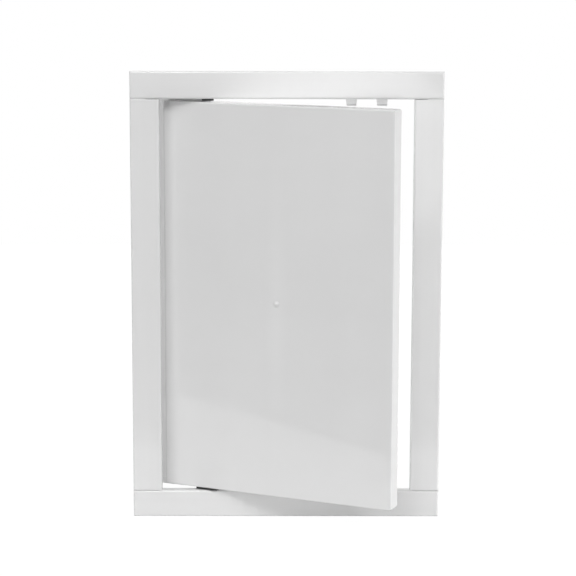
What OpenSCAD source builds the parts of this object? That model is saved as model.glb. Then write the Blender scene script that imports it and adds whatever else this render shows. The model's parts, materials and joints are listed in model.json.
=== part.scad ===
// Access panel: a moulded plastic surround of four butted members, and a door hung on two pivots set in from its edge.
// Sizes are in millimetres. The wall plane is y = 0, the room is on the -y side, z is up,
// and x = 0, z = 0 is the middle of the opening.

/* [Surround] */
// Overall width of the flange
frame_w = 218; // [180:1:420]
// Overall height of the flange
frame_h = 318; // [240:1:620]
// Width of the face of each side member
stile_face = 20.5; // [19:0.5:30]
// Width of the face of the top and bottom members
rail_face = 19.2; // [18.4:0.2:30]
// Thickness of the flange that lies on the wall
flange_t = 2.5; // [2:0.1:3]
// Radius along the outer front edge of the flange
flange_edge_r = 1.2; // [0.4:0.1:1.8]
// Thickness of the lip round the opening
lip_t = 2; // [1.6:0.1:2.6]
// Depth of the lip, from the front of the flange
lip_depth = 6.5; // [5:0.5:8.5]
// Radius along the front edge of the lip
lip_edge_r = 1.5; // [0.5:0.1:1.9]
// Gap left at each butt joint
joint_gap = 0.2; // [0.1:0.05:0.4]

/* [Collar] */
// Distance from the edge of the flange to the outside of the collar
collar_inset = 11; // [9:0.5:12]
// Wall of the collar
collar_t = 2; // [1.6:0.1:2.4]
// How far the collar goes into the wall
collar_depth = 22; // [20:1:40]
// Lead-in chamfer at the inner end of the collar
collar_lead = 1; // [0.4:0.1:1.4]
// Thickness of the cross webs between lip and collar
web_t = 1.5; // [1:0.1:2.5]
// Widest spacing of the cross webs
web_pitch = 32; // [20:1:60]

/* [Fixing holes] */
// Diameter of the fixing holes through the collar
fixing_d = 4.5; // [3.5:0.1:5.5]
// Distance between the two fixing holes of a side member
fixing_pitch = 180; // [80:5:200]
// Distance of the fixing holes behind the wall plane
fixing_depth = 17; // [14:0.5:18]

/* [Door] */
// Angle that the door stands open
door_open = 24.5; // [0:0.5:100]
// Thickness of the door over its skirt
door_t = 11.5; // [11:0.5:13]
// Thickness of the door's face
door_skin = 2.4; // [1.8:0.1:3.2]
// Thickness of the skirt round the door
door_skirt = 1.8; // [1.4:0.1:2.4]
// Radius along the front edges of the door
door_edge_r = 0.8; // [0.3:0.1:1.4]
// Radius at the corners of the door
door_corner_r = 1.6; // [0.8:0.1:4]
// Gap at each side of the shut door
side_gap = 1.5; // [1.2:0.1:2.5]
// Gap above the shut door
top_gap = 2.2; // [1.6:0.1:3]
// Gap below the shut door
bottom_gap = 1.6; // [1.2:0.1:2.6]
// Thickness of the stiffening ribs
rib_t = 1.6; // [1:0.1:2.4]
// Depth of the stiffening ribs behind the face
rib_depth = 5; // [3:0.5:6]
// Number of upright stiffening ribs
rib_columns = 3; // [1:1:6]
// Number of level stiffening ribs
rib_rows = 5; // [1:1:9]
// Thickness of the rear lip along the hinge edge
rear_lip_t = 2.2; // [1.6:0.1:2.6]
// Room between the rear lip and the collar
rear_lip_room = 1; // [0.8:0.1:3]
// How far the ends of the rear lip reach behind the top and bottom members
rear_lip_over = 1.2; // [0.4:0.1:2]
// Gap between the returns of the rear lip and the top and bottom members
return_gap = 0.6; // [0.4:0.1:1]
// Diameter of the moulding gate mark on the face
gate_d = 3; // [1.5:0.1:5]
// Height of the moulding gate mark
gate_h = 0.25; // [0.1:0.05:0.5]

/* [Pivots] */
// Distance from the hinge edge of the door to the pivot axis
pivot_inset = 32; // [24:0.5:60]
// Diameter of the pivot pins
pin_d = 4; // [3:0.1:5]
// Length of a pivot pin inside the door
pin_grip = 14; // [10:0.5:20]
// Outside diameter of the pivot bushes
bush_d = 7; // [6.6:0.1:7.6]
// Diameter of the flange under the upper bush
bush_flange_d = 8.4; // [8:0.1:12]
// Gap between the flange of the upper bush and the door
bush_gap = 0.8; // [0.3:0.1:1]
// Length of the pivot shoe along the door
shoe_l = 15.6; // [12:0.2:24]
// Height of the plug of the pivot shoe inside the door
shoe_plug_h = 6; // [4:0.5:8]
// Gap between the pivot shoe and the bottom rail
shoe_gap = 0.3; // [0.2:0.1:0.6]
// Wall round the pivot bores
boss_wall = 2.4; // [1.6:0.1:3]

/* [Catches] */
// Distance from the free edge of the door to the middle of a catch
catch_inset = 31.3; // [26:0.1:60]
// Distance between the middles of the two fingers
finger_pitch = 21.4; // [18:0.1:30]
// Width of a finger at its root
finger_w = 8; // [5:0.1:10]
// Width of a finger at its tip
finger_tip_w = 6.6; // [3:0.1:8]
// Thickness of a finger
finger_t = 2.6; // [1.8:0.1:3]
// How far the nose of a finger reaches into the door
nose_reach = 2.2; // [1:0.1:3]
// Thickness of the nose of a finger
nose_t = 1; // [0.8:0.1:2]
// Clearance between a catch and the shut door
catch_clear = 0.3; // [0.2:0.05:0.6]
// Thickness of the base of a catch
catch_base_t = 2; // [1.4:0.1:2.4]
// Depth of the base of a catch
catch_base_depth = 10.5; // [10:0.5:11.5]

/* [Corner keys and screws] */
// Length of each leg of a corner key
key_leg = 24; // [18:1:30]
// Clearance round a corner key in the channel
key_clear = 0.15; // [0.05:0.05:0.3]
// Gap between a corner key and the rear lip of the shut door
key_gap = 0.6; // [0.3:0.1:0.8]
// Shank diameter of the small screws
screw_d = 2.9; // [2.2:0.1:3.1]
// Head diameter of the small screws
screw_head_d = 5.2; // [4.4:0.1:5.6]
// Length of the cone under a countersunk head
screw_cone_h = 1.2; // [0.8:0.1:1.4]
// Height of the raised head of a catch screw
screw_head_h = 1.5; // [1:0.1:2]
// Clearance round a screw
screw_clear = 0.05; // [0.02:0.01:0.1]

/* [Hidden] */
$fn = 48;

// Overlap that keeps a cut clear of the face it starts from
over = 0.5;
// Radial clearance of a pin that turns in its bush
run_clear = 0.05;
// Radial clearance of a piece that is pressed home
seat_clear = 0.02;

// Half sizes of the opening, and of the collar inside and outside
open_x = frame_w / 2 - stile_face;
open_z = frame_h / 2 - rail_face;
collar_x = frame_w / 2 - collar_inset;
collar_z = frame_h / 2 - collar_inset;
collar_in_x = collar_x - collar_t;
collar_in_z = collar_z - collar_t;
lip_back = lip_depth - flange_t;

// The shut door lies flush with the front of the flange
face_y = -flange_t;
door_back = face_y + door_t;
door_left = -open_x + side_gap;
door_right = open_x - side_gap;
door_top = open_z - top_gap;
door_bottom = -open_z + bottom_gap;
door_w = door_right - door_left;
door_h = door_top - door_bottom;
door_mid_z = (door_top + door_bottom) / 2;
rear_lip_tip = -collar_in_x + rear_lip_room;

// The pivot axis runs through the middle of the door's thickness
pivot_x = door_left + pivot_inset;
pivot_y = face_y + door_t / 2;
pin_end_gap = 0.5;
bush_flange_t = top_gap - bush_gap;
rail_boss_w = bush_d + 2 * boss_wall + 4;
rail_boss_back = pivot_y + bush_d / 2 + boss_wall;
door_boss_w = shoe_l + 2 * boss_wall;
door_boss_h = pin_grip + boss_wall;
shoe_proud = bottom_gap - shoe_gap;
shoe_margin = 0.5;
shoe_plug_l = shoe_l - 4;
shoe_plug_depth = pin_d + 2 * boss_wall - 2;

// The returns of the rear lip stop short of the upper bush and of the shoe
return_stop = 1;
upper_return_end = pivot_x - bush_flange_d / 2 - return_stop;
lower_return_end = pivot_x - shoe_l / 2 - return_stop;

// The keys stop short of the rear lip of the shut door
key_depth = door_back - rear_lip_t - key_gap;
key_screw_y = key_depth / 2;
key_screw_x = collar_in_x - key_leg * 2 / 3;
key_screw_z = collar_in_z - key_leg * 2 / 3;
key_screw_l = collar_t + 3;

// A catch stands just behind the shut door
catch_x = door_right - catch_inset;
catch_y = door_back + catch_clear;
catch_screw_y = catch_y + (finger_t + catch_base_depth) / 2;
catch_screw_pitch = 6;

// Evenly spread places, no further apart than the pitch, with none at the ends
function between(span, pitch) =
  let (bays = ceil(span / pitch))
  [for (i = [1 : bays - 1]) -span / 2 + i * span / bays];

function inner_places(low, high, count) =
  [for (i = [1 : count]) low + i * (high - low) / (count + 1)];

// What a rounded edge takes off a square corner at the origin
module edge_waste(r) {
  difference() {
    translate([-over, -over]) square(r + over);
    translate([r, r]) circle(r);
  }
}

// A section given as distance out from the opening and depth, run along the top of the opening
module along_top(length) {
  translate([0, 0, open_z])
    rotate([0, -90, 0])
      linear_extrude(length, center = true)
        children();
}

// The same section run up the right side of the opening
module along_right(length) {
  translate([open_x, 0, 0])
    linear_extrude(length, center = true)
      children();
}

module lip_section() {
  translate([0, face_y]) square([lip_t, lip_depth]);
}

module collar_section(out) {
  polygon([
    [out - collar_t, -over],
    [out, -over],
    [out, collar_depth - collar_lead],
    [out - collar_lead / 2, collar_depth],
    [out - collar_t, collar_depth]
  ]);
}

// Webs across the channel, given as places along the member
module web_section(out) {
  translate([lip_t - over, -over])
    square([out - collar_t - lip_t + 2 * over, lip_back + over]);
}

module lip_edge_waste() {
  translate([0, face_y]) edge_waste(lip_edge_r);
}

module flange_edge_waste(face) {
  translate([face, face_y]) mirror([1, 0]) edge_waste(flange_edge_r);
}

// A hole for a small screw, along +z from the outside of the collar at the origin, with its head below
module screw_hole(length) {
  r = screw_d / 2 + screw_clear;
  head_r = screw_head_d / 2 + screw_clear;
  translate([0, 0, -over]) cylinder(h = length + 2 * over, r = r);
  cylinder(h = screw_cone_h, r1 = head_r, r2 = r);
  translate([0, 0, -over]) cylinder(h = over, r = head_r);
}

// A countersunk screw that lies flush at the origin and points along +z
module flush_screw(length) {
  r = screw_d / 2;
  point_h = screw_d / 3;
  cylinder(h = length - point_h, r = r);
  cylinder(h = screw_cone_h, r1 = screw_head_d / 2, r2 = r);
  translate([0, 0, length - point_h]) cylinder(h = point_h, r1 = r, r2 = r / 2);
}

// A domed screw whose head lies under the origin and whose shank points along +z
module domed_screw(length) {
  cylinder(h = length, d = screw_d);
  translate([0, 0, -screw_head_h])
    rotate_extrude()
      intersection() {
        square([screw_head_d / 2, screw_head_h]);
        translate([0, screw_head_d / 2]) circle(screw_head_d / 2);
      }
}

// Places a screw at the top right corner: one down into the rail's leg of the key, one in from the side
module at_rail_key_screw() {
  translate([key_screw_x, key_screw_y, collar_z]) rotate([180, 0, 0]) children();
}

module at_stile_key_screw() {
  translate([collar_x, key_screw_y, key_screw_z]) rotate([0, -90, 0]) children();
}

module at_catch_screws() {
  for (side = [-1, 1])
    translate([catch_x + side * catch_screw_pitch / 2, catch_screw_y, collar_in_z - catch_base_t])
      children();
}

module at_pivot() {
  translate([pivot_x, pivot_y, 0]) children();
}

// Top member: the pivot bore and the catch screws are at the same places on both rails
module rail() {
  out = rail_face - collar_inset;
  span = 2 * (collar_in_x - key_leg);
  difference() {
    union() {
      translate([-frame_w / 2, face_y, open_z]) cube([frame_w, flange_t, rail_face]);
      along_top(2 * (open_x + lip_t)) lip_section();
      along_top(2 * collar_x) collar_section(out);
      for (side = [0, 1])
        mirror([side, 0, 0])
          translate([0, 0, open_z + (collar_z - open_z) / 2])
            linear_extrude(collar_z - open_z, center = true)
              translate([open_x, 0]) collar_section(stile_face - collar_inset);
      for (place = between(span, web_pitch))
        translate([place, 0, 0]) along_top(web_t) web_section(out);
      translate([pivot_x - rail_boss_w / 2, -over, open_z])
        cube([rail_boss_w, rail_boss_back + over, collar_in_z - open_z + over]);
    }
    along_top(frame_w + 2 * over) lip_edge_waste();
    along_top(frame_w + 2 * over) flange_edge_waste(rail_face);
    for (side = [0, 1])
      mirror([side, 0, 0])
        translate([-frame_w / 2, face_y, open_z - over])
          linear_extrude(rail_face + 2 * over) edge_waste(flange_edge_r);
    at_pivot()
      translate([0, 0, open_z - over])
        cylinder(h = collar_in_z - open_z + over, d = bush_d + 2 * seat_clear);
    for (side = [0, 1])
      mirror([side, 0, 0]) at_rail_key_screw() screw_hole(collar_t);
    at_catch_screws()
      cylinder(h = catch_base_t + collar_t + over, d = screw_d + 2 * screw_clear);
  }
}

// Right side member
module stile() {
  out = stile_face - collar_inset;
  length = 2 * (open_z - joint_gap);
  span = 2 * (collar_in_z - key_leg);
  difference() {
    union() {
      along_right(length)
        difference() {
          union() {
            translate([0, face_y]) square([stile_face, flange_t]);
            lip_section();
            collar_section(out);
          }
          lip_edge_waste();
          flange_edge_waste(stile_face);
        }
      for (place = between(span, web_pitch))
        translate([0, 0, place]) along_right(web_t) web_section(out);
    }
    for (side = [-1, 1])
      translate([collar_in_x - over, fixing_depth, side * fixing_pitch / 2])
        rotate([0, 90, 0]) cylinder(h = collar_t + 2 * over, d = fixing_d);
    for (side = [0, 1])
      mirror([0, 0, side]) at_stile_key_screw() screw_hole(collar_t);
  }
}

module top_rail() {
  color("whitesmoke") rail();
}

module bottom_rail() {
  color("whitesmoke") mirror([0, 0, 1]) rail();
}

module latch_stile() {
  color("whitesmoke") stile();
}

module hinge_stile() {
  color("whitesmoke") mirror([1, 0, 0]) stile();
}

// Corner key for the top right corner: one leg in the channel of each member
module corner_key() {
  low_x = open_x + lip_t + key_clear;
  low_z = open_z + lip_t + key_clear;
  high_x = collar_in_x - key_clear;
  high_z = collar_in_z - key_clear;
  end_x = collar_in_x - key_leg;
  end_z = collar_in_z - key_leg;
  nip = 0.8;
  difference() {
    translate([0, key_depth, 0])
      rotate([90, 0, 0])
        linear_extrude(key_depth)
          polygon([
            [end_x, low_z + nip],
            [end_x + nip, low_z],
            [low_x, low_z],
            [low_x, end_z + nip],
            [low_x + nip, end_z],
            [high_x - nip, end_z],
            [high_x, end_z + nip],
            [high_x, high_z],
            [end_x + nip, high_z],
            [end_x, high_z - nip]
          ]);
    at_rail_key_screw() cylinder(h = collar_t + rail_face, d = screw_d + 2 * screw_clear);
    at_stile_key_screw() cylinder(h = collar_t + stile_face, d = screw_d + 2 * screw_clear);
  }
}

module corner_key_top_right() {
  color("lightgray") corner_key();
}

module corner_key_top_left() {
  color("lightgray") mirror([1, 0, 0]) corner_key();
}

module corner_key_bottom_right() {
  color("lightgray") mirror([0, 0, 1]) corner_key();
}

module corner_key_bottom_left() {
  color("lightgray") mirror([1, 0, 0]) mirror([0, 0, 1]) corner_key();
}

module corner_screws() {
  color("silver")
    for (across = [0, 1], down = [0, 1])
      mirror([across, 0, 0])
        mirror([0, 0, down]) {
          at_rail_key_screw() flush_screw(key_screw_l);
          at_stile_key_screw() flush_screw(key_screw_l);
        }
}

// Turns what belongs to the shut door about the pivots, to where it stands open
module swing() {
  at_pivot() rotate([0, 0, -door_open]) translate([-pivot_x, -pivot_y, 0]) children();
}

module door_outline() {
  r = door_corner_r;
  for (x = [door_left + r, door_right - r], z = [door_bottom + r, door_top - r])
    translate([x, z]) circle(r);
  translate([door_left + r, door_bottom]) square([door_w - 2 * r, door_h]);
  translate([door_left, door_bottom + r]) square([door_w, door_h - 2 * r]);
}

module door_front_edges() {
  for (x = [door_left, door_right])
    translate([x, face_y, door_bottom - over])
      mirror([x > 0 ? 1 : 0, 0, 0])
        linear_extrude(door_h + 2 * over) edge_waste(door_edge_r);
  for (z = [door_bottom, door_top])
    translate([0, face_y, z])
      mirror([0, 0, z > 0 ? 1 : 0])
        rotate([0, -90, 0])
          linear_extrude(door_w + 2 * over, center = true) edge_waste(door_edge_r);
}

module door_ribs() {
  inner_h = door_h - 2 * door_skirt;
  inner_w = door_w - 2 * door_skirt;
  for (x = inner_places(door_left, door_right, rib_columns))
    translate([x - rib_t / 2, face_y + door_skin - over, door_bottom + door_skirt - over])
      cube([rib_t, rib_depth + over, inner_h + 2 * over]);
  for (z = inner_places(door_bottom, door_top, rib_rows))
    translate([door_left + door_skirt - over, face_y + door_skin - over, z - rib_t / 2])
      cube([inner_w + 2 * over, rib_depth + over, rib_t]);
}

// Thin lip at the back of the hinge edge. It reaches behind the side member and the ends of the rails,
// and low returns run from it along the top and bottom of the door, up to the pivots.
module door_rear_lip() {
  strip_z = open_z + rear_lip_over;
  return_z = open_z - return_gap;
  translate([rear_lip_tip, door_back, -strip_z])
    mirror([0, 1, 0])
      linear_extrude(2 * strip_z)
        difference() {
          square([door_left - rear_lip_tip + door_skirt, rear_lip_t]);
          edge_waste(rear_lip_t / 2);
        }
  translate([door_left, door_back - rear_lip_t, door_top - door_skirt])
    cube([upper_return_end - door_left, rear_lip_t, return_z - door_top + door_skirt]);
  translate([door_left, door_back - rear_lip_t, -return_z])
    cube([lower_return_end - door_left, rear_lip_t, return_z + door_bottom + door_skirt]);
}

module shoe_plug(clear) {
  depth = shoe_plug_depth + 2 * clear;
  length = shoe_plug_l + 2 * clear;
  translate([pivot_x - length / 2, pivot_y - depth / 2, door_bottom - over])
    cube([length, depth, shoe_plug_h + clear + over]);
}

module door_panel() {
  boss_y = face_y + door_skin - over;
  color("white")
    swing()
      difference() {
        union() {
          difference() {
            translate([0, door_back, 0]) rotate([90, 0, 0]) linear_extrude(door_t) door_outline();
            translate([door_left + door_skirt, face_y + door_skin, door_bottom + door_skirt])
              cube([door_w - 2 * door_skirt, door_t, door_h - 2 * door_skirt]);
            door_front_edges();
          }
          door_ribs();
          door_rear_lip();
          for (z = [door_top - door_boss_h, door_bottom])
            translate([pivot_x - door_boss_w / 2, boss_y, z])
              cube([door_boss_w, door_back - boss_y, door_boss_h]);
          translate([0, face_y, door_mid_z])
            rotate([90, 0, 0]) cylinder(h = gate_h, d = gate_d);
        }
        at_pivot()
          for (z = [door_top - pin_grip, door_bottom - over])
            translate([0, 0, z]) cylinder(h = pin_grip + over, d = pin_d + 2 * seat_clear);
        shoe_plug(seat_clear);
      }
}

module pin(length) {
  nip = pin_d / 8;
  cylinder(h = length - nip, d = pin_d);
  translate([0, 0, length - nip]) cylinder(h = nip, d1 = pin_d, d2 = pin_d - 2 * nip);
}

module upper_pivot_pin() {
  foot = door_top - pin_grip;
  color("silver")
    swing() at_pivot() translate([0, 0, foot]) pin(collar_in_z - pin_end_gap - foot);
}

module lower_pivot_pin() {
  head = door_bottom + pin_grip;
  color("silver")
    swing()
      at_pivot() translate([0, 0, head]) mirror([0, 0, 1]) pin(collar_in_z - pin_end_gap + head);
}

// Bush for the top rail, with a flange under the lip where one is asked for
module bush(flange) {
  at_pivot()
    difference() {
      union() {
        translate([0, 0, open_z]) cylinder(h = collar_in_z - open_z, d = bush_d);
        if (flange > 0)
          translate([0, 0, open_z - flange]) cylinder(h = flange, d = bush_flange_d);
      }
      translate([0, 0, open_z - flange - over])
        cylinder(h = collar_in_z - open_z + flange + 2 * over, d = pin_d + 2 * run_clear);
    }
}

module upper_pivot_bush() {
  color("dimgray") bush(bush_flange_t);
}

module lower_pivot_bush() {
  color("dimgray") mirror([0, 0, 1]) bush(0);
}

// Shoe under the door: a pad that carries the door on the bottom rail, and a plug let into the door
module lower_pivot_shoe() {
  pad_depth = door_t - 2 * shoe_margin;
  color("dimgray")
    swing()
      difference() {
        union() {
          translate([pivot_x - shoe_l / 2, face_y + shoe_margin, door_bottom - shoe_proud])
            cube([shoe_l, pad_depth, shoe_proud]);
          shoe_plug(0);
        }
        at_pivot()
          translate([0, 0, door_bottom - shoe_proud - over])
            cylinder(h = shoe_proud + shoe_plug_h + 2 * over, d = pin_d + 2 * seat_clear);
      }
}

// Side view of a catch finger: a stem with a nose that reaches in under the skirt of the shut door
module finger_side(tip) {
  nose_top = tip + nose_t;
  nose_y = catch_y - nose_reach;
  ease = nose_t / 2;
  polygon([
    [catch_y, collar_in_z],
    [catch_y + finger_t, collar_in_z],
    [catch_y + finger_t, tip + ease],
    [catch_y + finger_t - ease, tip],
    [nose_y + ease, tip],
    [nose_y, tip + ease],
    [nose_y + ease, nose_top],
    [catch_y, nose_top]
  ]);
}

// Front view of a catch finger: straight behind the rail, tapered where it hangs into the opening
module finger_front(tip) {
  polygon([
    [-finger_w / 2, collar_in_z],
    [-finger_w / 2, open_z],
    [-finger_tip_w / 2, tip],
    [finger_tip_w / 2, tip],
    [finger_w / 2, open_z],
    [finger_w / 2, collar_in_z]
  ]);
}

module catch_finger(tip) {
  intersection() {
    rotate([90, 0, 90])
      linear_extrude(2 * finger_w, center = true) finger_side(tip);
    translate([0, catch_y + collar_depth, 0])
      rotate([90, 0, 0]) linear_extrude(2 * collar_depth) finger_front(tip);
  }
}

// Twin-finger catch on the top rail, for the gap that the door leaves there
module catch(door_gap) {
  tip = open_z - door_gap - door_skirt - catch_clear - nose_t;
  base_w = finger_pitch + finger_w;
  difference() {
    union() {
      for (side = [-1, 1])
        translate([catch_x + side * finger_pitch / 2, 0, 0]) catch_finger(tip);
      translate([catch_x - base_w / 2, catch_y, collar_in_z - catch_base_t])
        cube([base_w, catch_base_depth, catch_base_t]);
    }
    at_catch_screws()
      translate([0, 0, -over]) cylinder(h = catch_base_t + 2 * over, d = screw_d + 2 * screw_clear);
  }
}

module upper_catch() {
  color("gainsboro") catch(top_gap);
}

module lower_catch() {
  color("gainsboro") mirror([0, 0, 1]) catch(bottom_gap);
}

module catch_screws() {
  color("silver")
    for (down = [0, 1])
      mirror([0, 0, down]) at_catch_screws() domed_screw(catch_base_t + collar_t);
}

top_rail();
bottom_rail();
hinge_stile();
latch_stile();
corner_key_top_left();
corner_key_top_right();
corner_key_bottom_left();
corner_key_bottom_right();
corner_screws();
door_panel();
upper_pivot_pin();
lower_pivot_pin();
upper_pivot_bush();
lower_pivot_bush();
lower_pivot_shoe();
upper_catch();
lower_catch();
catch_screws();
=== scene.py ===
import json
import math

import bmesh
import bpy
from mathutils import Matrix, Vector


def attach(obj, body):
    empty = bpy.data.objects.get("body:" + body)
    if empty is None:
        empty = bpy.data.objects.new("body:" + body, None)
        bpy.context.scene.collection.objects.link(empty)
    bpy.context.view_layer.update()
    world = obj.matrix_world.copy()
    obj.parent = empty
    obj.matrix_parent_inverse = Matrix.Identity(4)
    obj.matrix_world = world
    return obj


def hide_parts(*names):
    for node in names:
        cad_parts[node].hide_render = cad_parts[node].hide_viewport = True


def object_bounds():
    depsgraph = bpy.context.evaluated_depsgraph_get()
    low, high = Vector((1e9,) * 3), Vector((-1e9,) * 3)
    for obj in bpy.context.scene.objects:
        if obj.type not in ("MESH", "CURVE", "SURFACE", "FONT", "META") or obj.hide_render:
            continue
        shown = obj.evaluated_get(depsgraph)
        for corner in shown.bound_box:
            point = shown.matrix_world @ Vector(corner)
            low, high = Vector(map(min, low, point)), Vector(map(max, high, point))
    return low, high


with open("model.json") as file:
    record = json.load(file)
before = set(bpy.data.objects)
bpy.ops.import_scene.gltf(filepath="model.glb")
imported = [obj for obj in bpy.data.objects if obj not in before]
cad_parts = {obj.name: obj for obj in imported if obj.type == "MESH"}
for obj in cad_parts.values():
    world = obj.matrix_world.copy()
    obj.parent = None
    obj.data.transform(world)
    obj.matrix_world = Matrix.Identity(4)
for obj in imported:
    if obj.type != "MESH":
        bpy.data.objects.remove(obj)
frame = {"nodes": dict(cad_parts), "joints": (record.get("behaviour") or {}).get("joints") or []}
cadBox = [list(corner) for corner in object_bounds()]
scene = bpy.context.scene
scene.view_settings.view_transform = "Standard"
nodes = frame["nodes"]
print("parts loaded:", len(nodes))

sameSpot = 1e-6    # points closer than this are one point
turnedSeam = 0.000005    # and in a screw turned from a line, closer than this
roundSides = 28    # sides of the screws and of the round marks

# where the door hangs, and how far it stands open at rest
swing = frame["joints"][0]
pivot = Vector(swing["pos_m"])
openAngle = math.radians(-swing["range_deg"][0])
shutToRest = Matrix.Translation(pivot) @ Matrix.Rotation(-openAngle, 4, "Z") @ Matrix.Translation(-pivot)

doorSizes = {"gateHeight": 0.00025, "skin": 0.0024, "flatWithin": 0.00001}


def boxOf(points):
    low = Vector([min(point[i] for point in points) for i in range(3)])
    high = Vector([max(point[i] for point in points) for i in range(3)])
    return low, high


def doorFace(sizes):
    # corners of the door's flat face, in the shut door's own frame
    back = shutToRest.inverted()
    points = [back @ vertex.co for vertex in nodes["door_panel"].data.vertices]
    front = min(point.y for point in points) + sizes["gateHeight"]
    return boxOf([point for point in points if abs(point.y - front) < sizes["flatWithin"]])


faceLow, faceHigh = doorFace(doorSizes)
faceMiddle = (faceLow + faceHigh) / 2
openingTop = min(vertex.co.z for vertex in nodes["top_rail"].data.vertices)

# camera, at the place that the view of the frame and the door gives
shot = {
    "place": (-0.0070, -1.4511, 0.2645),
    "turn": (79.93, -0.15, -0.29),
    "lens": 130.85,
    "sensor": 36.0,
}


def addCamera(shot):
    data = bpy.data.cameras.new("camera")
    data.lens = shot["lens"]
    data.sensor_width = shot["sensor"]
    camera = bpy.data.objects.new("camera", data)
    camera.location = shot["place"]
    camera.rotation_euler = [math.radians(angle) for angle in shot["turn"]]
    scene.collection.objects.link(camera)
    scene.camera = camera


addCamera(shot)
print("camera placed")


# small helpers for node trees
def addNode(tree, kind, inputs=None, **props):
    node = tree.nodes.new(kind)
    for name, value in props.items():
        setattr(node, name, value)
    for name, value in (inputs or {}).items():
        node.inputs[name].default_value = value
    return node


def linked(tree, kind, links, inputs=None, **props):
    # a node with some inputs set and others linked
    node = addNode(tree, kind, inputs, **props)
    for name, socket in links.items():
        tree.links.new(socket, node.inputs[name])
    return node


def mathNode(tree, operation, *values):
    node = addNode(tree, "ShaderNodeMath", operation=operation)
    for socket, value in zip(node.inputs, values):
        if isinstance(value, bpy.types.NodeSocket):
            tree.links.new(value, socket)
        else:
            socket.default_value = value
    return node.outputs[0]


def partCoords(tree, sizes, place=(0, 0, 0), turn=0.0):
    # the part's own coordinates, measured in units of the given sizes
    coords = addNode(tree, "ShaderNodeTexCoord")
    inputs = {"Location": place, "Rotation": (0, 0, turn), "Scale": sizes}
    links = {"Vector": coords.outputs["Object"]}
    return linked(tree, "ShaderNodeMapping", links, inputs, vector_type="TEXTURE").outputs[0]


def splitUp(tree, vector):
    return linked(tree, "ShaderNodeSeparateXYZ", {"Vector": vector}).outputs


def noiseOver(tree, vector, detail=2.0, roughness=0.5, distortion=0.0):
    inputs = {"Scale": 1.0, "Detail": detail, "Roughness": roughness, "Distortion": distortion}
    return linked(tree, "ShaderNodeTexNoise", {"Vector": vector}, inputs).outputs[0]


def weighed(tree, parts):
    # sum of each value times its weight
    total = 0.0
    for value, weight in parts:
        total = mathNode(tree, "MULTIPLY_ADD", value, weight, total)
    return total


def mapped(tree, value, fromLow, fromHigh, toLow, toHigh):
    inputs = {"From Min": fromLow, "From Max": fromHigh, "To Min": toLow, "To Max": toHigh}
    return linked(tree, "ShaderNodeMapRange", {"Value": value}, inputs).outputs[0]


def tintRamp(tree, value, stops):
    ramp = linked(tree, "ShaderNodeValToRGB", {0: value})
    first, last = ramp.color_ramp.elements
    first.position, first.color = stops[0][0], (*stops[0][1], 1)
    last.position, last.color = stops[-1][0], (*stops[-1][1], 1)
    for position, colour in stops[1:-1]:
        ramp.color_ramp.elements.new(position).color = (*colour, 1)
    return ramp.outputs[0]


def emptyTree(owner):
    owner.use_nodes = True
    owner.node_tree.nodes.clear()
    return owner.node_tree


# helpers that put a look into a material
noiseSpan = (0.3, 0.7)    # where nearly all the values of one noise lie
blendSpan = (0.35, 0.65)    # and those of two noises blended


def startMaterial(name, inputs):
    material = bpy.data.materials.new(name)
    tree = emptyTree(material)
    shader = addNode(tree, "ShaderNodeBsdfPrincipled", inputs)
    linked(tree, "ShaderNodeOutputMaterial", {"Surface": shader.outputs[0]})
    return material, tree, shader


def plasticInputs(look):
    # how much light goes into a plastic, and how far it wanders there
    return {
        "IOR": look["ior"],
        "Subsurface Weight": look["glow"],
        "Subsurface Scale": look["depth"],
        "Subsurface Radius": (1, 1, 1),
    }


def shaded(colour, share):
    return [channel * share for channel in colour]


def colourFrom(tree, shader, tone, span, look, *moreStops):
    dark, light = shaded(look["colour"], 1 - look["spread"]), shaded(look["colour"], 1 + look["spread"])
    stops = [(span[0], dark), (span[1], light), *moreStops]
    tree.links.new(tintRamp(tree, tone, stops), shader.inputs["Base Color"])


def bumpFrom(tree, shader, height, look):
    inputs = {"Distance": look["bumpHeight"], "Strength": look["bumpStrength"]}
    bump = linked(tree, "ShaderNodeBump", {"Height": height}, inputs)
    tree.links.new(bump.outputs[0], shader.inputs["Normal"])


# white moulded plastic: broad cloudiness, flow lines along the member, and a fine moulded grain,
# polished where it shows and satin behind the wall's face
whiteLook = {
    "colour": (0.80, 0.80, 0.80),
    "spread": 0.012,
    "cloudSize": 0.070,
    "cloudShare": 0.6,
    "flowWidth": 0.004,
    "flowLength": 0.160,
    "grainSize": 0.0009,
    "grainShare": 0.6,
    "bumpHeight": 0.00002,
    "bumpStrength": 0.12,
    "roughness": (0.05, 0.11),
    "backFrom": 0.0005,
    "backRoughness": 0.30,
    "ior": 1.58,
    "glow": 0.40,
    "depth": 0.003,
}


def whitePlastic(name, look, along):
    material, tree, shader = startMaterial(name, plasticInputs(look))
    flowSizes = [look["flowLength"] if axis == along else look["flowWidth"] for axis in "xyz"]
    cloud = noiseOver(tree, partCoords(tree, [look["cloudSize"]] * 3))
    flow = noiseOver(tree, partCoords(tree, flowSizes), detail=3.0)
    grain = noiseOver(tree, partCoords(tree, [look["grainSize"]] * 3), detail=1.0)
    tone = weighed(tree, [(cloud, look["cloudShare"]), (flow, 1 - look["cloudShare"])])
    colourFrom(tree, shader, tone, blendSpan, look)
    gloss = mapped(tree, cloud, *noiseSpan, *look["roughness"])
    depth = splitUp(tree, partCoords(tree, (1, 1, 1)))["Y"]
    satin = mapped(tree, depth, 0.0, look["backFrom"], 0.0, look["backRoughness"])
    tree.links.new(mathNode(tree, "ADD", gloss, satin), shader.inputs["Roughness"])
    height = weighed(tree, [(grain, look["grainShare"]), (flow, 1 - look["grainShare"])])
    bumpFrom(tree, shader, height, look)
    return material


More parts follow.
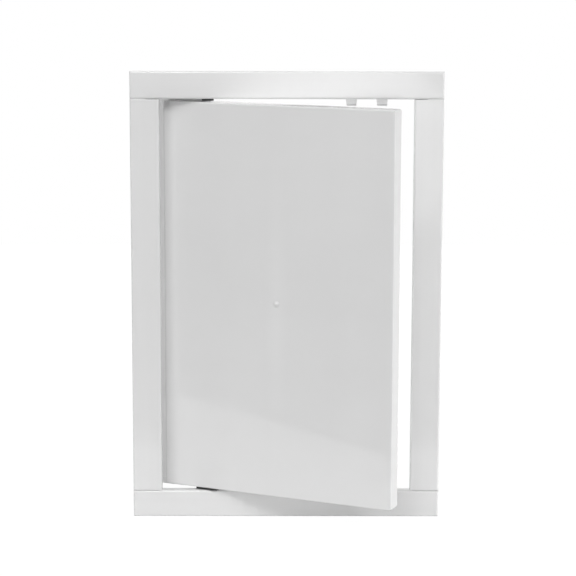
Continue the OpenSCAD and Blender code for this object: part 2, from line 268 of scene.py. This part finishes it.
# the door's plastic flowed out from the gate at the middle of its face, and a painted highlight runs up and
# down through the gate. Its back is satin, and the thin lip along its hinge edge lets more light through
doorLook = {
    "colour": (0.78, 0.78, 0.78),
    "spread": 0.010,
    "toneSpan": (0.32, 0.68),
    "cloudSize": 0.085,
    "haloRadius": 0.014,
    "haloTone": 0.05,
    # a painted highlight: a lighter, tall and narrow band through the gate
    "paintedHighlightSize": (0.009, 0.030, 0.120),
    "paintedHighlightTone": 0.50,
    "paintedHighlightTint": 0.035,
    "ringStep": 0.0035,
    "ringWave": {"Scale": 0.32, "Distortion": 1.5, "Detail": 1.0},
    "ringReach": 0.040,
    "ringTone": 0.04,
    "grainSize": 0.0011,
    "bumpShares": {"grain": 0.5, "ring": 0.3, "cloud": 0.2},
    "bumpHeight": 0.00002,
    "bumpStrength": 0.12,
    "roughness": (0.04, 0.08),
    "edgeWall": 0.001,
    "backRoughness": 0.30,
    "ior": 1.58,
    "glow": 0.40,
    "lipGlow": 0.60,
    "depth": 0.003,
    "lipDepth": 0.008,
}
markLook = {**doorLook, "glow": 0.0, "lipGlow": 0.0}    # too thin for light to go into


def doorPlastic(name, look):
    material, tree, shader = startMaterial(name, plasticInputs(look))
    gate = shutToRest @ faceMiddle

    def fromGate(sizes):
        return partCoords(tree, sizes, gate, -openAngle)

    def fading(sizes, fall):
        links = {"Vector": fromGate(sizes)}
        return linked(tree, "ShaderNodeTexGradient", links, gradient_type=fall).outputs[0]

    # the colour: clouds, with a halo, a painted upright highlight and faint rings about the gate
    cloud = noiseOver(tree, fromGate([look["cloudSize"]] * 3), detail=3.0)
    halo = fading([look["haloRadius"]] * 3, "QUADRATIC_SPHERE")
    # painted highlight: a tall narrow band through the gate, lighter in colour
    paintedHighlight = fading(look["paintedHighlightSize"], "SPHERICAL")
    rings = linked(
        tree, "ShaderNodeTexWave", {"Vector": fromGate([look["ringStep"]] * 3)}, look["ringWave"],
        wave_type="RINGS", rings_direction="Y").outputs[1]
    ring = mathNode(tree, "MULTIPLY", rings, fading([look["ringReach"]] * 3, "SPHERICAL"))
    tone = weighed(tree, [
        (cloud, 1.0), (halo, look["haloTone"]), (paintedHighlight, look["paintedHighlightTone"]), (ring, look["ringTone"])])
    # the lighter colour of the painted highlight
    paintedHighlightStop = (1.0, shaded(look["colour"], 1 + look["paintedHighlightTint"]))
    colourFrom(tree, shader, tone, look["toneSpan"], look, paintedHighlightStop)

    # the gloss: satin behind the skin, inside the polished free edge and ends
    place, half, wall = splitUp(tree, fromGate((1, 1, 1))), (faceHigh - faceLow) / 2, look["edgeWall"]
    gloss = mapped(tree, cloud, *noiseSpan, *look["roughness"])
    skin = doorSizes["skin"]
    behind = mapped(tree, place["Y"], skin / 2, skin, 0.0, look["backRoughness"])
    inFromFreeEdge = mapped(tree, place["X"], half.x, half.x - wall, 0.0, 1.0)
    inFromEnds = mapped(tree, mathNode(tree, "ABSOLUTE", place["Z"]), half.z, half.z - wall, 0.0, 1.0)
    satin = mathNode(tree, "MULTIPLY", behind, mathNode(tree, "MULTIPLY", inFromFreeEdge, inFromEnds))
    tree.links.new(mathNode(tree, "ADD", gloss, satin), shader.inputs["Roughness"])

    # the light that the thin lip lets through
    thinLip = mapped(tree, place["X"], -half.x - wall, -half.x - 2 * wall, 0.0, 1.0)
    glow = mathNode(tree, "MULTIPLY_ADD", thinLip, look["lipGlow"], look["glow"])
    tree.links.new(glow, shader.inputs["Subsurface Weight"])
    depth = mathNode(tree, "MULTIPLY_ADD", thinLip, look["lipDepth"], look["depth"])
    tree.links.new(depth, shader.inputs["Subsurface Scale"])

    grain = noiseOver(tree, fromGate([look["grainSize"]] * 3), detail=1.0)
    shares = look["bumpShares"]
    height = weighed(tree, [(grain, shares["grain"]), (ring, shares["ring"]), (cloud, shares["cloud"])])
    bumpFrom(tree, shader, height, look)
    return material


# matte mouldings: the corner keys, the catches and the black pivot pieces
matteLook = {
    "speckShare": 0.5,
    "bumpHeight": 0.00004,
    "bumpStrength": 0.25,
    "ior": 1.48,
    "glow": 0.0,
    "depth": 0.0,
}
keyLook = {
    **matteLook,
    "colour": (0.58, 0.58, 0.58),
    "spread": 0.05,
    "speckSize": 0.0006,
    "cloudSize": 0.0108,
    "roughness": (0.42, 0.58),
}
catchLook = {
    **matteLook,
    "colour": (0.94, 0.94, 0.94),
    "spread": 0.03,
    "speckSize": 0.0011,
    "cloudSize": 0.0198,
    "roughness": (0.28, 0.44),
    "glow": 1.0,
    "depth": 0.008,
    "tipDepth": 0.045,
    "tipFade": 0.0005,
}
pivotLook = {
    **matteLook,
    "colour": (0.014, 0.014, 0.014),
    "spread": 0.22,
    "speckSize": 0.0005,
    "cloudSize": 0.0090,
    "roughness": (0.36, 0.52),
}


def matteMoulding(name, look):
    material, tree, shader = startMaterial(name, plasticInputs(look))
    speck = noiseOver(tree, partCoords(tree, [look["speckSize"]] * 3), detail=3.0)
    cloud = noiseOver(tree, partCoords(tree, [look["cloudSize"]] * 3), distortion=0.6)
    tone = weighed(tree, [(speck, look["speckShare"]), (cloud, 1 - look["speckShare"])])
    colourFrom(tree, shader, tone, blendSpan, look)
    tree.links.new(mapped(tree, cloud, *noiseSpan, *look["roughness"]), shader.inputs["Roughness"])
    bumpFrom(tree, shader, speck, look)
    if "tipDepth" in look:    # the catches' thin tips, inside the opening, let more light through
        height = mathNode(tree, "ABSOLUTE", splitUp(tree, partCoords(tree, (1, 1, 1)))["Z"])
        fadeFrom = openingTop - look["tipFade"]
        depth = mapped(tree, height, fadeFrom, openingTop, look["tipDepth"], look["depth"])
        tree.links.new(depth, shader.inputs["Subsurface Scale"])
    return material


# bright steel: drawing lines along the pins, crystal bloom on the zinc plated screws
steelLook = {"bumpHeight": 0.00002, "bumpStrength": 0.3}
pinLook = {
    **steelLook,
    "colour": (0.60, 0.60, 0.61),
    "spread": 0.10,
    "grainSize": (0.0002, 0.0002, 0.012),
    "roughness": (0.18, 0.36),
}
screwLook = {
    **steelLook,
    "colour": (0.64, 0.65, 0.67),
    "spread": 0.16,
    "grainSize": (0.0007, 0.0007, 0.0007),
    "roughness": (0.22, 0.40),
}


def brightSteel(name, look):
    material, tree, shader = startMaterial(name, {"Metallic": 1.0})
    grain = noiseOver(tree, partCoords(tree, look["grainSize"]), detail=4.0, roughness=0.6)
    colourFrom(tree, shader, grain, noiseSpan, look)
    tree.links.new(mapped(tree, grain, *noiseSpan, *look["roughness"]), shader.inputs["Roughness"])
    bumpFrom(tree, shader, grain, look)
    return material


railPlastic = whitePlastic("railPlastic", whiteLook, "x")
stilePlastic = whitePlastic("stilePlastic", whiteLook, "z")
doorWhite = doorPlastic("doorPlastic", doorLook)
markWhite = doorPlastic("markPlastic", markLook)
keyGrey = matteMoulding("keyGrey", keyLook)
catchGrey = matteMoulding("catchGrey", catchLook)
pivotBlack = matteMoulding("pivotBlack", pivotLook)
pinSteel = brightSteel("pinSteel", pinLook)
screwSteel = brightSteel("screwSteel", screwLook)

finishes = {
    railPlastic: ["top_rail", "bottom_rail"],
    stilePlastic: ["hinge_stile", "latch_stile"],
    doorWhite: ["door_panel"],
    keyGrey: [name for name in nodes if name.startswith("corner_key")],
    catchGrey: ["upper_catch", "lower_catch"],
    pivotBlack: ["upper_pivot_bush", "lower_pivot_bush", "lower_pivot_shoe"],
    pinSteel: ["upper_pivot_pin", "lower_pivot_pin"],
    screwSteel: ["corner_screws", "catch_screws"],
}
for material, names in finishes.items():
    for name in names:
        nodes[name].data.materials.clear()
        nodes[name].data.materials.append(material)
print("finishes set:", len(finishes))


# geometry node helpers
def startTree(name, sockets):
    # a geometry tree with one geometry input, the named inputs and one geometry output
    tree = bpy.data.node_groups.new(name, "GeometryNodeTree")
    tree.interface.new_socket("Geometry", in_out="OUTPUT", socket_type="NodeSocketGeometry")
    tree.interface.new_socket("Geometry", in_out="INPUT", socket_type="NodeSocketGeometry")
    for label, kind in sockets.items():
        tree.interface.new_socket(label, in_out="INPUT", socket_type="NodeSocket" + kind)
    return tree, tree.nodes.new("NodeGroupInput"), tree.nodes.new("NodeGroupOutput")


def endTree(tree, output, instances, material):
    real = linked(tree, "GeometryNodeRealizeInstances", {"Geometry": instances})
    paint = linked(tree, "GeometryNodeSetMaterial", {"Geometry": real.outputs[0], "Material": material})
    tree.links.new(paint.outputs[0], output.inputs["Geometry"])


def madeByTree(name, carrier, tree, values):
    # runs the tree on the carrier mesh and keeps the result as a plain mesh
    holder = bpy.data.objects.new(name + "Carrier", carrier)
    scene.collection.objects.link(holder)
    modifier = holder.modifiers.new("made", "NODES")
    modifier.node_group = tree
    for item in tree.interface.items_tree:
        if item.name in values:
            modifier[item.identifier] = values[item.name]
    holder.data.update()
    graph = bpy.context.evaluated_depsgraph_get()
    mesh = bpy.data.meshes.new_from_object(holder.evaluated_get(graph))
    mesh.name = name
    bpy.data.objects.remove(holder)
    piece = bpy.data.objects.new(name, mesh)
    scene.collection.objects.link(piece)
    return piece


# small screws with a cross recess, set where the plain ones are
screwSizes = {
    "Head Radius": 0.0026,
    "Shank Radius": 0.00145,
    "Recess Width": 0.0030,
    "Recess Slot": 0.0008,
    "Recess Depth": 0.0011,
    "Seed": 7,
}
flushScrew = {"Head Height": 0.00004, "Cone Height": 0.0012, "Length": 0.0050}
domedScrew = {"Head Height": 0.0015, "Cone Height": 0.00004, "Length": 0.0040}
screwSets = {
    "cornerScrews": {"node": "corner_screws", "form": flushScrew, "proud": 0.0},
    "catchScrews": {"node": "catch_screws", "form": domedScrew, "proud": domedScrew["Head Height"]},
}


def loosePieces(node):
    # the separate solids of a node, each as a list of points
    merged = bmesh.new()
    merged.from_mesh(nodes[node].data)
    bmesh.ops.remove_doubles(merged, verts=merged.verts, dist=sameSpot)
    left = set(merged.verts)
    pieces = []
    while left:
        reached = [left.pop()]
        for vertex in reached:
            near = {edge.other_vert(vertex) for edge in vertex.link_edges} & left
            left -= near
            reached.extend(near)
        pieces.append([vertex.co.copy() for vertex in reached])
    merged.free()
    return pieces


def screwPlace(points, proud):
    # middle of the seat under the head, and the way the shank points
    low, high = boxOf(points)
    size, middle = high - low, (low + high) / 2
    axis = min(range(3), key=lambda i: abs(size[(i + 1) % 3] - size[(i + 2) % 3]))
    widest = max(points, key=lambda p: (p - middle).length - abs(p[axis] - middle[axis]))
    headAtLow = widest[axis] < middle[axis]
    aim = Vector((0, 0, 0))
    aim[axis] = 1 if headAtLow else -1
    seat = middle.copy()
    seat[axis] = (low if headAtLow else high)[axis] + aim[axis] * proud
    return seat, aim


def screwPoints(node, proud):
    # a mesh of one point for each screw, which carries the way it points
    places = [screwPlace(points, proud) for points in loosePieces(node)]
    places.sort(key=lambda place: tuple(place[0]))
    mesh = bpy.data.meshes.new(node + "Points")
    mesh.from_pydata([seat for seat, aim in places], [], [])
    aims = mesh.attributes.new("aim", "FLOAT_VECTOR", "POINT")
    for item, (seat, aim) in zip(aims.data, places):
        item.vector = aim
    return mesh


def byIndex(tree, values):
    # picks a value by the point's number
    switch = addNode(tree, "GeometryNodeIndexSwitch", data_type="FLOAT")
    while len(switch.index_switch_items) < len(values):
        switch.index_switch_items.new()
    tree.links.new(addNode(tree, "GeometryNodeInputIndex").outputs[0], switch.inputs["Index"])
    for socket, (source, share) in zip(switch.inputs[1:], values):
        tree.links.new(mathNode(tree, "MULTIPLY", source, share), socket)
    return switch.outputs[0]


def screwTree():
    lengths = ["Head Radius", "Head Height", "Cone Height", "Shank Radius", "Length"]
    recess = ["Recess Width", "Recess Slot", "Recess Depth"]
    sockets = {label: "Float" for label in lengths + recess}
    sockets.update({"Seed": "Int", "Material": "Material"})
    tree, given, output = startTree("crossRecessScrews", sockets)
    take = given.outputs
    head, top, cone = take["Head Radius"], take["Head Height"], take["Cone Height"]
    shank, length = take["Shank Radius"], take["Length"]

    # the whole screw is turned from a line of stations: the crown, the rim, the cone, the shank
    # and the point
    heights = [(top, -1.0), (top, -0.866), (top, -0.5), (top, 0.0), (cone, 1.0), (length, 0.8), (length, 1.0)]
    widths = [(head, 0.0), (head, 0.5), (head, 0.866), (head, 1.0), (shank, 1.0), (shank, 1.0), (shank, 0.5)]
    line = addNode(tree, "GeometryNodeCurvePrimitiveLine")
    stations = linked(tree, "GeometryNodeResampleCurve", {"Curve": line.outputs[0]}, {"Count": len(heights)})
    place = linked(tree, "ShaderNodeCombineXYZ", {"Z": byIndex(tree, heights)}).outputs[0]
    axis = linked(tree, "GeometryNodeSetPosition", {"Geometry": stations.outputs[0], "Position": place})
    ring = addNode(tree, "GeometryNodeCurvePrimitiveCircle", {"Resolution": roundSides, "Radius": 1.0})
    turned = linked(
        tree, "GeometryNodeCurveToMesh",
        {"Curve": axis.outputs[0], "Profile Curve": ring.outputs[0], "Scale": byIndex(tree, widths)},
        {"Fill Caps": True})
    closed = linked(
        tree, "GeometryNodeMergeByDistance", {"Geometry": turned.outputs[0]}, {"Distance": turnedSeam})

    # two crossing bars cut the recess
    deep = mathNode(tree, "MULTIPLY", take["Recess Depth"], 2.0)
    crown = linked(tree, "ShaderNodeCombineXYZ", {"Z": mathNode(tree, "MULTIPLY", top, -1.0)}).outputs[0]
    cut = linked(tree, "GeometryNodeMeshBoolean", {"Mesh 1": closed.outputs[0]}, operation="DIFFERENCE")
    for long, narrow in (("X", "Y"), ("Y", "X")):
        sides = {long: take["Recess Width"], narrow: take["Recess Slot"], "Z": deep}
        size = linked(tree, "ShaderNodeCombineXYZ", sides)
        bar = linked(tree, "GeometryNodeMeshCube", {"Size": size.outputs[0]})
        atCrown = linked(tree, "GeometryNodeTransform", {"Geometry": bar.outputs[0], "Translation": crown})
        tree.links.new(atCrown.outputs[0], cut.inputs["Mesh 2"])

    # each screw points its own way and was left at its own turn
    aim = addNode(tree, "GeometryNodeInputNamedAttribute", {"Name": "aim"}, data_type="FLOAT_VECTOR")
    along = linked(tree, "FunctionNodeAlignRotationToVector", {"Vector": aim.outputs[0]}, axis="Z")
    chance = linked(tree, "FunctionNodeRandomValue", {"Seed": take["Seed"]}, data_type="FLOAT")
    chance.inputs[3].default_value = math.pi / 2
    spin = linked(tree, "FunctionNodeAxisAngleToRotation", {"Angle": chance.outputs[1]}, {"Axis": (0, 0, 1)})
    turn = linked(
        tree, "FunctionNodeRotateRotation",
        {"Rotation": along.outputs[0], "Rotate By": spin.outputs[0]}, rotation_space="LOCAL")
    screws = linked(
        tree, "GeometryNodeInstanceOnPoints",
        {"Points": take["Geometry"], "Instance": cut.outputs[0], "Rotation": turn.outputs[0]})
    endTree(tree, output, screws.outputs[0], take["Material"])
    return tree


screwMaker = screwTree()
for name, kind in screwSets.items():
    node = kind["node"]
    values = {**screwSizes, **kind["form"], "Material": screwSteel}
    screws = madeByTree(name, screwPoints(node, kind["proud"]), screwMaker, values)
    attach(screws, "surround")
    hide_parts(node)
    print(name, "made:", len(screws.data.polygons), "faces")

# faint round marks that the mould's ejector pins left behind the door's face, between the ribs
markSizes = {
    "Columns": 4,
    "Rows": 6,
    "Radius": 0.0030,
    "Height": 0.00015,
    "Share": 0.55,
    "Seed": 3,
}


def markTree():
    sockets = {"Columns": "Int", "Rows": "Int"}
    sockets.update({label: "Float" for label in ("Width", "Length", "Radius", "Height", "Share")})
    sockets.update({"Seed": "Int", "Material": "Material"})
    tree, given, output = startTree("ejectorMarks", sockets)
    take = given.outputs
    size = {"Size X": take["Width"], "Size Y": take["Length"]}
    count = {"Vertices X": take["Columns"], "Vertices Y": take["Rows"]}
    grid = linked(tree, "GeometryNodeMeshGrid", {**size, **count})
    draw = {"Seed": take["Seed"], "Probability": take["Share"]}
    chance = linked(tree, "FunctionNodeRandomValue", draw, data_type="BOOLEAN")
    disc = linked(
        tree, "GeometryNodeMeshCylinder", {"Radius": take["Radius"], "Depth": take["Height"]},
        {"Vertices": roundSides})
    marks = linked(
        tree, "GeometryNodeInstanceOnPoints",
        {"Points": grid.outputs[0], "Instance": disc.outputs[0], "Selection": chance.outputs[3]})
    endTree(tree, output, marks.outputs[0], take["Material"])
    return tree


def ejectorMarks(sizes):
    face = faceHigh - faceLow
    values = {**sizes, "Material": markWhite}
    values["Width"] = face.x * (1 - 1 / sizes["Columns"])
    values["Length"] = face.z * (1 - 1 / sizes["Rows"])
    marks = madeByTree("ejectorMarks", bpy.data.meshes.new("markPoints"), markTree(), values)
    behindFace = faceMiddle + Vector((0, doorSizes["skin"] + sizes["Height"] / 2, 0))
    upright = Matrix.Rotation(math.pi / 2, 4, "X")
    marks.data.transform(shutToRest @ Matrix.Translation(behindFace) @ upright)
    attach(marks, "door")
    return marks


print("ejector marks made:", len(ejectorMarks(markSizes).data.polygons), "faces")

# the low pip that is left where the door was cut from its sprue
pipSizes = {"radius": 0.0024, "height": 0.0008, "rings": 10, "sides": 48}


def gatePip(sizes):
    form = bmesh.new()
    line = []
    for step in range(sizes["rings"] + 1):
        share = step / sizes["rings"]
        rise = sizes["height"] * math.cos(share * math.pi / 2) ** 2
        line.append(form.verts.new((share * sizes["radius"], -rise, 0)))
    line.append(form.verts.new((0, 0, 0)))    # middle of the flat foot
    edges = [form.edges.new(pair) for pair in zip(line, line[1:])]
    bmesh.ops.spin(
        form, geom=line + edges, axis=(0, 1, 0), cent=(0, 0, 0), angle=2 * math.pi, steps=sizes["sides"])
    bmesh.ops.remove_doubles(form, verts=form.verts, dist=sameSpot)
    bmesh.ops.recalc_face_normals(form, faces=form.faces)
    for face in form.faces:
        face.smooth = face.normal.y < 0
    mesh = bpy.data.meshes.new("gatePip")
    form.to_mesh(mesh)
    form.free()
    mesh.transform(shutToRest @ Matrix.Translation(faceMiddle))
    mesh.materials.append(markWhite)
    pip = bpy.data.objects.new("gatePip", mesh)
    scene.collection.objects.link(pip)
    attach(pip, "door")
    return pip


print("gate pip made:", len(gatePip(pipSizes).data.polygons), "faces")

# the studio: a pale table, a dark reflection card in front of it and soft lamps
tableLook = {"reach": 1.25, "gap": 0.0002, "glow": 0.94, "tint": 0.12, "bounce": 0.70}
cardLook = {"grey": 0.05, "edge": (-0.200, -0.218), "turn": 2.2, "width": 6.0, "reach": 5.0, "lift": 0.001}
skyLook = {"ambient": 0.16}
lampLook = {
    "keyLamp": {"place": (1.06, -2.40, 1.77), "size": 0.90, "power": 22.0, "inGloss": True},
    "middleLamp": {"place": (-0.45, -1.90, 1.50), "size": 0.80, "power": 8.7, "inGloss": True},
    "leftLamp": {"place": (-1.20, -1.50, 0.60), "size": 0.70, "power": 4.8, "inGloss": False},
    "frontLamp": {"place": (0.03, -1.50, 0.02), "size": 0.30, "power": 3.2, "inGloss": False},
    "sideLamp": {"place": (1.00, 0.02, -0.07), "size": 0.14, "power": 4.4, "inGloss": False},
    "topLamp": {"place": (-0.10, -0.55, 0.80), "size": 0.50, "power": 1.8, "inGloss": True},
    "railLamp": {"place": (0.072, -1.42, -0.055), "size": 0.32, "power": 0.46, "inGloss": True},
    "backLamp": {"place": (0.00, 1.40, 0.60), "size": 1.60, "power": 13.5, "inGloss": False},
}


def grey(level):
    return (level, level, level, 1)


def seenOr(tree, hidden, seen):
    # one shader for rays from the camera and for mirrored and transmitted ones, another for the rest
    path = addNode(tree, "ShaderNodeLightPath").outputs
    direct = mathNode(tree, "MAXIMUM", path["Is Camera Ray"], path["Is Glossy Ray"])
    direct = mathNode(tree, "MAXIMUM", direct, path["Is Transmission Ray"])
    return linked(tree, "ShaderNodeMixShader", {0: direct, 1: hidden, 2: seen}).outputs[0]


def whiteSky(look):
    world = bpy.data.worlds.new("whiteSky")
    scene.world = world
    tree = emptyTree(world)
    soft = addNode(tree, "ShaderNodeBackground", {"Color": grey(1), "Strength": look["ambient"]})
    white = addNode(tree, "ShaderNodeBackground", {"Color": grey(1), "Strength": 1.0})
    surface = seenOr(tree, soft.outputs[0], white.outputs[0])
    linked(tree, "ShaderNodeOutputWorld", {"Surface": surface})


def flatSheet(name, corners, material):
    mesh = bpy.data.meshes.new(name)
    mesh.from_pydata(corners, [], [tuple(range(len(corners)))])
    mesh.materials.append(material)
    sheet = bpy.data.objects.new(name, mesh)
    scene.collection.objects.link(sheet)
    return sheet


def paleTable(look):
    # white to the eye, with the object's faint shadow, and a plain pale surface to the light
    material = bpy.data.materials.new("paleTable")
    tree = emptyTree(material)
    plain = addNode(tree, "ShaderNodeBsdfDiffuse", {"Color": grey(look["bounce"])})
    shadow = addNode(tree, "ShaderNodeBsdfDiffuse", {"Color": grey(look["tint"])})
    glow = addNode(tree, "ShaderNodeEmission", {"Strength": look["glow"]})
    white = linked(tree, "ShaderNodeAddShader", {0: shadow.outputs[0], 1: glow.outputs[0]})
    surface = seenOr(tree, plain.outputs[0], white.outputs[0])
    linked(tree, "ShaderNodeOutputMaterial", {"Surface": surface})
    level, reach = cadBox[0][2] - look["gap"], look["reach"]
    corners = [(-reach, -reach, level), (reach, -reach, level), (reach, reach, level), (-reach, reach, level)]
    flatSheet("table", corners, material)


def darkCard(look):
    # the dark floor in front of the table's edge, which the object sees and the camera doesn't
    material = bpy.data.materials.new("darkCard")
    material.use_nodes = True
    material.node_tree.nodes["Principled BSDF"].inputs["Base Color"].default_value = grey(look["grey"])
    half, level = look["width"] / 2, cadBox[0][2] + look["lift"]
    corners = [Vector((-half, -look["reach"], 0)), Vector((half, -look["reach"], 0))]
    corners += [Vector((half, 0, 0)), Vector((-half, 0, 0))]
    turn = Matrix.Rotation(math.radians(look["turn"]), 4, "Z")
    edge = Vector((*look["edge"], level))
    card = flatSheet("card", [edge + turn @ corner for corner in corners], material)
    card.visible_camera = False
    card.visible_shadow = False


def addLamp(name, look):
    data = bpy.data.lights.new(name, "AREA")
    data.shape = "DISK"
    data.size = look["size"]
    data.energy = look["power"]
    lamp = bpy.data.objects.new(name, data)
    lamp.location = look["place"]
    lamp.rotation_euler = (-Vector(look["place"])).to_track_quat("-Z", "Y").to_euler()
    lamp.visible_glossy = look["inGloss"]
    lamp.visible_camera = False
    scene.collection.objects.link(lamp)


whiteSky(skyLook)
paleTable(tableLook)
darkCard(cardLook)
for name, look in lampLook.items():
    addLamp(name, look)
print("studio lit with", len(lampLook), "lamps")
